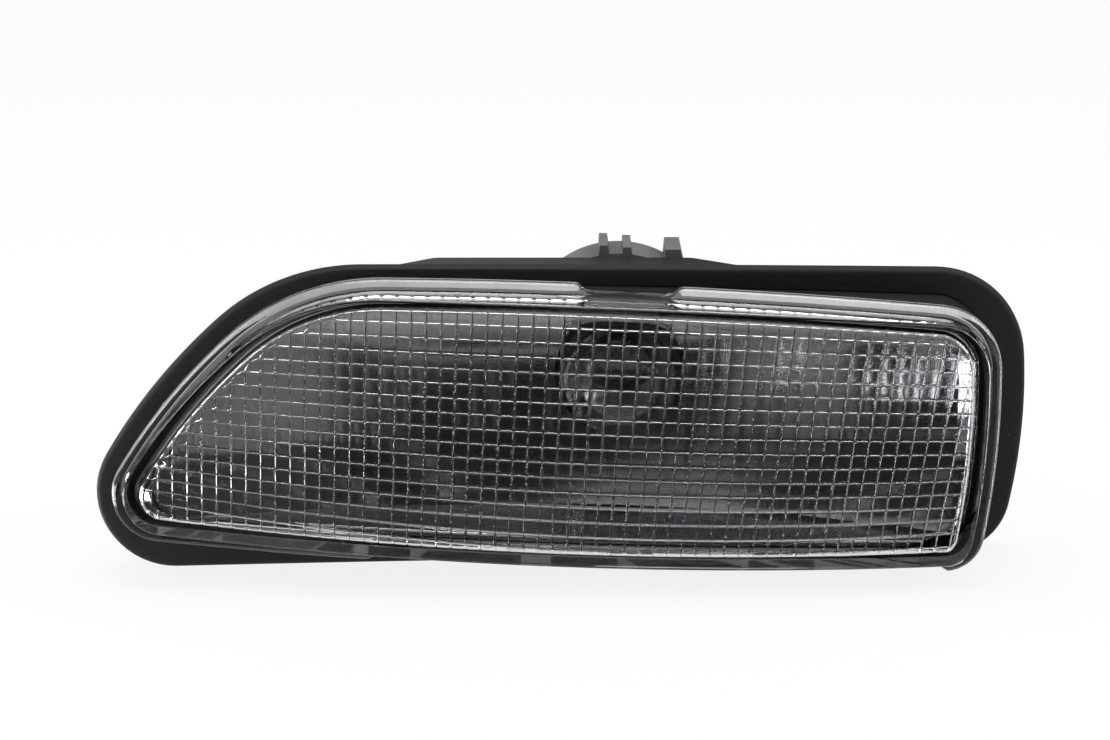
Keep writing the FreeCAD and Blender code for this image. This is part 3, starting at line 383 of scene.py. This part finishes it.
# each cell is a flat cushion with round corners, whose edge falls off as
# height * sqrt(1 - (1 - t / soft)^2), t being the distance in from the cell's rounded outline
offU = np.abs(2 * (u - np.floor(u)) - 1)
offV = np.abs(2 * (v - np.floor(v)) - 1)
cornerU = np.maximum(offU + optic["corner"] - 1, 0)
cornerV = np.maximum(offV + optic["corner"] - 1, 0)
inCorner = cornerU * cornerV > 0
inset = np.where(inCorner, optic["corner"] - np.hypot(cornerU, cornerV), 1 - np.maximum(offU, offV))
lift = optic["height"] * np.sqrt(1 - (1 - np.clip(inset / optic["soft"], 0, 1)) ** 2)
# the optics end in a scalloped line: each cell swells past the edge by (1 - s^2), s running along the edge
depth, normal = insideDepth(x, z)
swell = optic["scallop"] * (1 - (offU * normal[..., 1]) ** 2 - (offV * normal[..., 0]) ** 2)
room = depth - lens["lipWidth"] - optic["wall"] - optic["fillet"] - draftOf(normal) + swell
within = room > 0
beyond = np.minimum(room, 0)
x = x + normal[..., 0] * beyond
z = z + normal[..., 1] * beyond
y = domeY(x, z) + optic["skin"] + lift
# cells with a corner within the line are kept, and an edge that only one of them has is on the line
number = np.arange(u.size).reshape(u.shape)
keep = within[:-1, :-1] | within[1:, :-1] | within[:-1, 1:] | within[1:, 1:]
cells = np.stack([number[:-1, :-1], number[:-1, 1:], number[1:, 1:], number[1:, :-1]], -1)[keep]
used = np.unique(cells)
cells = np.searchsorted(used, cells)
edges = np.concatenate([cells[:, [k, (k + 1) % 4]] for k in range(4)])
forwardKey = edges[:, 0] * len(used) + edges[:, 1]
backwardKey = edges[:, 1] * len(used) + edges[:, 0]
lineEdges = edges[~np.isin(forwardKey, backwardKey)]
linePoints = np.unique(lineEdges)
optics = np.stack([x, y, z], -1).reshape(-1, 3)[used]
lineNormal = normal.reshape(-1, 2)[used][linePoints]
outward = np.stack([lineNormal[:, 0], np.zeros(len(linePoints)), lineNormal[:, 1]], -1)
lineSwell = swell.reshape(-1, 1)[used][linePoints]
# inner wall: a quarter turn out of the optics that loses the scallops, then straight back to the base
innerRows = []
for turn in np.linspace(0, math.pi / 2, optic["filletSteps"])[1:]:
    back = 1 - math.cos(turn)
    aside = optic["fillet"] * math.sin(turn) - lineSwell * back
    innerRows.append(optics[linePoints] + outward * aside + (0, optic["fillet"] * back, 0))
innerRows.append(innerRows[-1] * (1, 0, 1))
rowEdges = [lineEdges]
for k in range(len(innerRows)):
    rowEdges.append(len(optics) + k * len(linePoints) + np.searchsorted(linePoints, lineEdges))
innerFaces = [cells]
for upper, lower in zip(rowEdges, rowEdges[1:]):
    innerFaces.append(np.concatenate([upper[:, ::-1], lower], 1))
lensPoints = np.concatenate([outer, optics] + innerRows)
lensFaces = [outerFaces, np.concatenate(innerFaces) + len(outer), frontFan]
addPiece("lensClear", lensPoints, lensFaces, "lamp", "clear_lens", ["lens"], 55, sealed=True)
print("stage: lens", len(lensPoints))


# gasket: a band between the lens and its own outline, bent back to the right, with a rounded outer edge
gasket = {
    "fit": 0.2, "bend": 600.0, "bendX": -45.0, "bendY": 1.0, "thick": 3.0, "edge": 1.1, "edgeSteps": 6,
    "flatShares": (0.0, 0.3, 0.6, 0.8), "leastFlat": 0.1, "ease": 0.3,
}


def bendY(x):
    # depth of an arc of the bend's radius that lies at bendY where x is bendX
    return gasket["bendY"] + gasket["bend"] - np.sqrt(gasket["bend"] ** 2 - (x - gasket["bendX"]) ** 2)


bandInner = lipSpots + lipNormals * (gasket["fit"] - lens["lipWidth"])
bandWidth = np.hypot(*(rimSpots - bandInner).T)[:, None]
flatWidth = np.maximum(bandWidth - gasket["edge"], gasket["leastFlat"])
# section of the band: distances out from its inner line, with depths behind its face
section = [(share * flatWidth, 0.0) for share in gasket["flatShares"]]
for turn in np.linspace(0, math.pi / 2, gasket["edgeSteps"]):
    section.append((bandWidth - gasket["edge"] * (1 - math.sin(turn)), gasket["edge"] * (1 - math.cos(turn))))
section.append((bandWidth, gasket["thick"] - gasket["ease"]))
section.append((bandWidth - gasket["ease"], gasket["thick"]))
section.append((np.zeros_like(bandWidth), gasket["thick"]))
bandRows = []
for outBy, behind in section:
    spot = bandInner + (rimSpots - bandInner) * np.clip(outBy / bandWidth, 0, 1)
    bandRows.append(np.stack([spot[:, 0], bendY(spot[:, 0]) + behind, spot[:, 1]], -1))
bandFaces = [gridFaces(len(bandRows), ringCount, flip=True, looped=True)]
addPiece("gasketBand", np.concatenate(bandRows), bandFaces, "lamp", "black_rubber", ["gasket"], 40)
print("stage: gasket")


# reflector: drafted side walls that meet a dish round the bulb's axis, and a neck behind its hole
bulbAxis = np.array([13.5, 1.5])
dish = {
    "radius": 213.0, "bow": 60.0, "back": 26.0, "hole": 14.5, "front": 1.2, "draft": 4.2 / 31, "offset": 6.6,
    "wall": 1.5, "neck": 12.0, "wallShares": (0.1, 1.0, 8), "dishShares": (0.97, 0.0, 40), "leastWall": 0.05,
    "tries": 12,
}


def dishY(x, z):
    # a barrel: an arc of the large radius from side to side, drawn in at top and bottom by an arc of the bow
    barrel = dish["radius"] - dish["bow"] + np.sqrt(dish["bow"] ** 2 - (z - bulbAxis[1]) ** 2)
    return dish["back"] - dish["radius"] + np.sqrt(barrel ** 2 - (x - bulbAxis[0]) ** 2)


def dishWall(y):
    # the lip outline drawn in by the offset and by the draft times the depth behind the front
    return ring(-dish["offset"] - dish["draft"] * (y - dish["front"]), y)


# the depth at which wall and dish meet, closed in on by a few tries
meetY = np.full(ringCount, dish["front"])
for attempt in range(dish["tries"]):
    meetRing = dishWall(meetY)
    meetY = np.maximum(dishY(meetRing[:, 0], meetRing[:, 2]), dish["front"] + dish["leastWall"])
dishRows = [dishWall(dish["front"])]
for share in np.linspace(*dish["wallShares"]):
    dishRows.append(dishWall(dish["front"] + (meetY - dish["front"]) * share))
dishEdge = dishRows[-1][:, [0, 2]]
fromAxis = dishEdge - bulbAxis
hole = bulbAxis + dish["hole"] * (fromAxis / np.hypot(*fromAxis.T)[:, None])
for share in np.linspace(*dish["dishShares"]):
    spot = hole + (dishEdge - hole) * share
    dishRows.append(np.stack([spot[:, 0], dishY(spot[:, 0], spot[:, 1]), spot[:, 1]], -1))
dishRows.append(dishRows[-1] + (0, dish["neck"], 0))
dishFaces = [gridFaces(len(dishRows), ringCount)]
reflector = addPiece(
    "reflectorDish", np.concatenate(dishRows), dishFaces, "lamp", "metallised", ["reflector"], 40)
thickness = reflector.modifiers.new("thickness", "SOLIDIFY")
thickness.thickness = dish["wall"] * mm
thickness.offset = -1.0
print("stage: reflector")


# bulb: blown glass, a ball that runs into the neck on a smooth curve, as a shell of even wall
bulb = {
    "ball": 12.5, "ballY": 19.0, "ballTurns": (4.0, 126.87, 26), "neck": 7.0, "neckY": 36.0, "neckSteps": 9,
    "endY": 46.0, "wall": 0.8, "sides": 64,
}
ballTurn = np.radians(np.linspace(*bulb["ballTurns"]))
ballRun = np.stack([bulb["ballY"] - bulb["ball"] * np.cos(ballTurn), bulb["ball"] * np.sin(ballTurn)], -1)
joinY, joinRadius = ballRun[-1]
joinSlope = 1 / math.tan(ballTurn[-1])
span = bulb["neckY"] - joinY
# neck: a cubic with the ball's slope at its start and none at its end
t = np.linspace(0, 1, bulb["neckSteps"])[1:]
neckRadius = (
    (2 * t ** 3 - 3 * t ** 2 + 1) * joinRadius
    + (t ** 3 - 2 * t ** 2 + t) * span * joinSlope
    + (3 * t ** 2 - 2 * t ** 3) * bulb["neck"]
)
neckRun = np.stack([joinY + span * t, neckRadius], -1)
outside = np.concatenate([ballRun, neckRun, [[bulb["endY"], bulb["neck"]]]])
# the inside is the outside moved in by the wall, square to its run
slopes = np.gradient(outside, axis=0)
slopes /= np.hypot(*slopes.T)[:, None]
hollow = outside + bulb["wall"] * np.stack([slopes[:, 1], -slopes[:, 0]], -1)
profile = np.concatenate([outside, hollow[::-1]])
spin = np.linspace(0, 2 * math.pi, bulb["sides"], endpoint=False)
glassX = bulbAxis[0] + profile[:, 1:] * np.cos(spin)
glassY = np.repeat(profile[:, :1], bulb["sides"], 1)
glassZ = bulbAxis[1] + profile[:, 1:] * np.sin(spin)
glass = np.stack([glassX, glassY, glassZ], -1).reshape(-1, 3)
tipY = bulb["ballY"] - bulb["ball"]
tips = np.array([[bulbAxis[0], tipY, bulbAxis[1]], [bulbAxis[0], tipY + bulb["wall"], bulbAxis[1]]])
glassFaces = [
    gridFaces(len(profile), bulb["sides"]),
    poleFaces(len(glass), 0, bulb["sides"], flip=True),
    poleFaces(len(glass) + 1, len(glass) - bulb["sides"], bulb["sides"]),
]
glassPoints = np.concatenate([glass, tips])
addPiece("bulbEnvelope", glassPoints, glassFaces, "holder", "bulb_glass", ["bulb_glass"], 60, sealed=True)

# filament: a round wire carried along a helix
coil = {"y": 21.0, "half": 1.65, "radius": 0.41, "wire": 0.09, "turns": 12, "steps": 240, "sides": 8}
along = np.linspace(0, 1, coil["steps"])[:, None]
coilTurn = 2 * math.pi * coil["turns"] * along
radial = np.concatenate([0 * coilTurn, np.cos(coilTurn), np.sin(coilTurn)], 1)
helix = np.array([bulbAxis[0], coil["y"], bulbAxis[1]]) + coil["radius"] * radial
helix[:, :1] += coil["half"] * (2 * along - 1)
helixRun = np.gradient(helix, axis=0)
helixRun /= np.linalg.norm(helixRun, axis=1)[:, None]
sideways = np.cross(helixRun, radial)
wireTurn = np.linspace(0, 2 * math.pi, coil["sides"], endpoint=False)[:, None]
wireOut = np.cos(wireTurn) * radial[:, None] + np.sin(wireTurn) * sideways[:, None]
wire = (helix[:, None] + coil["wire"] * wireOut).reshape(-1, 3)
wireFaces = [
    gridFaces(coil["steps"], coil["sides"]),
    poleFaces(len(wire), 0, coil["sides"], flip=True),
    poleFaces(len(wire) + 1, len(wire) - coil["sides"], coil["sides"]),
]
wirePoints = np.concatenate([wire, helix[[0, -1]]])
addPiece("filamentCoil", wirePoints, wireFaces, "holder", "tungsten", ["filament"], 60, sealed=True)
print("stage: bulb")


# floor: the camera sees it mostly as white, with a light shadow; metal and glass see the studio past it
floor = {"half": 3.0, "below": 0.0003, "tone": 0.9, "rough": 0.9, "glow": 0.85}
floorMesh = bpy.data.meshes.new("floor")
floorCorners = np.array([(-1, -1, 0), (1, -1, 0), (1, 1, 0), (-1, 1, 0)]) * floor["half"]
floorCorners[:, 2] = cadBox[0][2] - floor["below"]
floorMesh.from_pydata(floorCorners.tolist(), [], [(0, 1, 2, 3)])
floorItem = bpy.data.objects.new("floor", floorMesh)
bpy.context.scene.collection.objects.link(floorItem)
pale = bpy.data.materials.new("paleFloor")
pale.use_nodes = True
nodes, links = pale.node_tree.nodes, pale.node_tree.links
floorShader = nodes["Principled BSDF"]
floorShader.inputs["Base Color"].default_value = (floor["tone"], floor["tone"], floor["tone"], 1)
floorShader.inputs["Roughness"].default_value = floor["rough"]
floorPath = nodes.new("ShaderNodeLightPath")
floorGlow = nodes.new("ShaderNodeEmission")
floorShare = nodes.new("ShaderNodeMath")
floorShare.operation = "MULTIPLY"
floorShare.inputs[1].default_value = floor["glow"]
floorMix = nodes.new("ShaderNodeMixShader")
floorPast = nodes.new("ShaderNodeMixShader")
floorClear = nodes.new("ShaderNodeBsdfTransparent")
links.new(floorPath.outputs["Is Camera Ray"], floorShare.inputs[0])
links.new(floorShare.outputs["Value"], floorMix.inputs["Fac"])
links.new(floorShader.outputs["BSDF"], floorMix.inputs[1])
links.new(floorGlow.outputs["Emission"], floorMix.inputs[2])
links.new(floorPath.outputs["Is Glossy Ray"], floorPast.inputs["Fac"])
links.new(floorMix.outputs["Shader"], floorPast.inputs[1])
links.new(floorClear.outputs["BSDF"], floorPast.inputs[2])
links.new(floorPast.outputs["Shader"], nodes["Material Output"].inputs["Surface"])
floorMesh.materials.append(pale)

# studio: white to the camera and an even fill on matt pieces; metal and glass see a dark front, pale
# panels at some angles round the horizon, a pale table below, a roof, a grey back and a bright panel low
# on the left; the fades are ranges of the viewing direction's x, y or z
studio = {
    "fill": 0.55, "front": 0.03, "back": 0.4, "backFade": (-0.45, 0.25),
    "high": 0.12, "highFade": (-0.1, 0.1),
    "table": 0.9, "tableFade": (-0.66, -0.5), "roof": 0.8, "roofFade": (0.6, 0.66),
    "panel": 0.3, "panelTop": (0.08, 0.14),
    "panels": (  # angle in degrees and level
        (-180, 3), (-150, 3), (-144, 0), (-114, 0), (-111, 1), (-102, 1), (-99, 0),
        (-61, 0), (-58, 1), (-42, 1), (-36, 3), (0, 3), (180, 3),
    ),
    "side": 13.0, "sideFade": (-0.79, -0.72), "sideTop": (-0.14, -0.1), "sideFoot": (-0.5, -0.44),
}
world = bpy.data.worlds.new("studio")
bpy.context.scene.world = world
world.use_nodes = True
nodes, links = world.node_tree.nodes, world.node_tree.links
nodes.clear()


def mathNode(operation, first, second):
    node = nodes.new("ShaderNodeMath")
    node.operation = operation
    for socket, value in zip(node.inputs, (first, second)):
        if isinstance(value, (int, float)):
            socket.default_value = value
        else:
            links.new(value, socket)
    return node.outputs["Value"]


def mapRange(value, fromRange, toRange):
    node = nodes.new("ShaderNodeMapRange")
    for socket, limit in zip(("From Min", "From Max", "To Min", "To Max"), (*fromRange, *toRange)):
        node.inputs[socket].default_value = limit
    links.new(value, node.inputs["Value"])
    return node.outputs["Result"]


looking = nodes.new("ShaderNodeSeparateXYZ")
links.new(nodes.new("ShaderNodeTexCoord").outputs["Generated"], looking.inputs["Vector"])
lookX, lookY, lookZ = looking.outputs["X"], looking.outputs["Y"], looking.outputs["Z"]
panelRamp = nodes.new("ShaderNodeValToRGB")
panelStops = panelRamp.color_ramp.elements
while len(panelStops) < len(studio["panels"]):
    panelStops.new(0.5)
for stop, (angle, level) in zip(panelStops, studio["panels"]):
    stop.position = angle / 360 + 0.5
    stop.color = (level, level, level, 1)
azimuth = mathNode("ARCTAN2", lookY, lookX)
links.new(mapRange(azimuth, (-math.pi, math.pi), (0, 1)), panelRamp.inputs["Fac"])
panelBand = mapRange(lookZ, studio["panelTop"], (studio["panel"], 0))
panels = mathNode("MULTIPLY", panelRamp.outputs["Color"], panelBand)
backWall = mapRange(lookY, studio["backFade"], (studio["front"], studio["back"]))
backHigh = mapRange(lookZ, studio["highFade"], (studio["back"], studio["high"]))
backWall = mathNode("MINIMUM", backWall, backHigh)
table = mapRange(lookZ, studio["tableFade"], (studio["table"], 0))
roof = mapRange(lookZ, studio["roofFade"], (0, studio["roof"]))
sidePanel = mapRange(lookX, studio["sideFade"], (studio["side"], 0))
sidePanel = mathNode("MULTIPLY", sidePanel, mapRange(lookZ, studio["sideTop"], (1, 0)))
sidePanel = mathNode("MULTIPLY", sidePanel, mapRange(lookZ, studio["sideFoot"], (0, 1)))
roomLevel = panels
for level in (backWall, table, roof, sidePanel):
    roomLevel = mathNode("MAXIMUM", roomLevel, level)
rays = nodes.new("ShaderNodeLightPath")
roomSeen = nodes.new("ShaderNodeBackground")
links.new(mathNode("MAXIMUM", rays.outputs["Is Camera Ray"], roomLevel), roomSeen.inputs["Strength"])
evenFill = nodes.new("ShaderNodeBackground")
evenFill.inputs["Color"].default_value = (1, 1, 1, 1)
evenFill.inputs["Strength"].default_value = studio["fill"]
seen = mathNode("MAXIMUM", rays.outputs["Is Camera Ray"], rays.outputs["Is Glossy Ray"])
seen = mathNode("MAXIMUM", seen, rays.outputs["Is Transmission Ray"])
# matt pieces behind the glass get the even fill too
seen = mathNode("SUBTRACT", seen, mathNode("GREATER_THAN", rays.outputs["Diffuse Depth"], 0.5))
studioMix = nodes.new("ShaderNodeMixShader")
links.new(seen, studioMix.inputs["Fac"])
links.new(evenFill.outputs["Background"], studioMix.inputs[1])
links.new(roomSeen.outputs["Background"], studioMix.inputs[2])
links.new(studioMix.outputs["Shader"], nodes.new("ShaderNodeOutputWorld").inputs["Surface"])

# lamps above and beside the object, aimed at the origin, so that none shines into the lens
lamps = {
    "overhead": {"place": (0, 0.05, 0.95), "width": 0.6, "height": 0.35, "watts": 4},
    "leftPanel": {"place": (-0.95, 0.05, 0.5), "width": 0.3, "height": 0.5, "watts": 3},
    "rightPanel": {"place": (0.95, 0.05, 0.5), "width": 0.3, "height": 0.5, "watts": 3},
}
for name, lamp in lamps.items():
    lampData = bpy.data.lights.new(name, "AREA")
    lampData.shape = "RECTANGLE"
    lampData.size = lamp["width"]
    lampData.size_y = lamp["height"]
    lampData.energy = lamp["watts"]
    lampItem = bpy.data.objects.new(name, lampData)
    bpy.context.scene.collection.objects.link(lampItem)
    lampItem.location = lamp["place"]
    lampItem.rotation_euler = (-Vector(lamp["place"])).to_track_quat("-Z", "Y").to_euler()

# camera: looks down 16 degrees from 750 mm in front, a little above and left of the origin
view = {
    "tilt": math.radians(16), "distance": 0.75, "left": 0.00086, "up": 0.00881, "focal": 113.17,
    "sensor": 36.0, "clip": (0.01, 50.0),
}
upward = Vector((0, math.sin(view["tilt"]), math.cos(view["tilt"])))
forward = Vector((0, math.cos(view["tilt"]), -math.sin(view["tilt"])))
cameraData = bpy.data.cameras.new("camera")
cameraData.sensor_width = view["sensor"]
cameraData.lens = view["focal"]
cameraData.clip_start, cameraData.clip_end = view["clip"]
camera = bpy.data.objects.new("camera", cameraData)
bpy.context.scene.collection.objects.link(camera)
camera.location = Vector((-view["left"], 0, 0)) + upward * view["up"] - forward * view["distance"]
camera.rotation_euler = (math.pi / 2 - view["tilt"], 0, 0)
bpy.context.scene.camera = camera
bpy.context.scene.view_settings.view_transform = "Standard"
print("stage: light and camera")
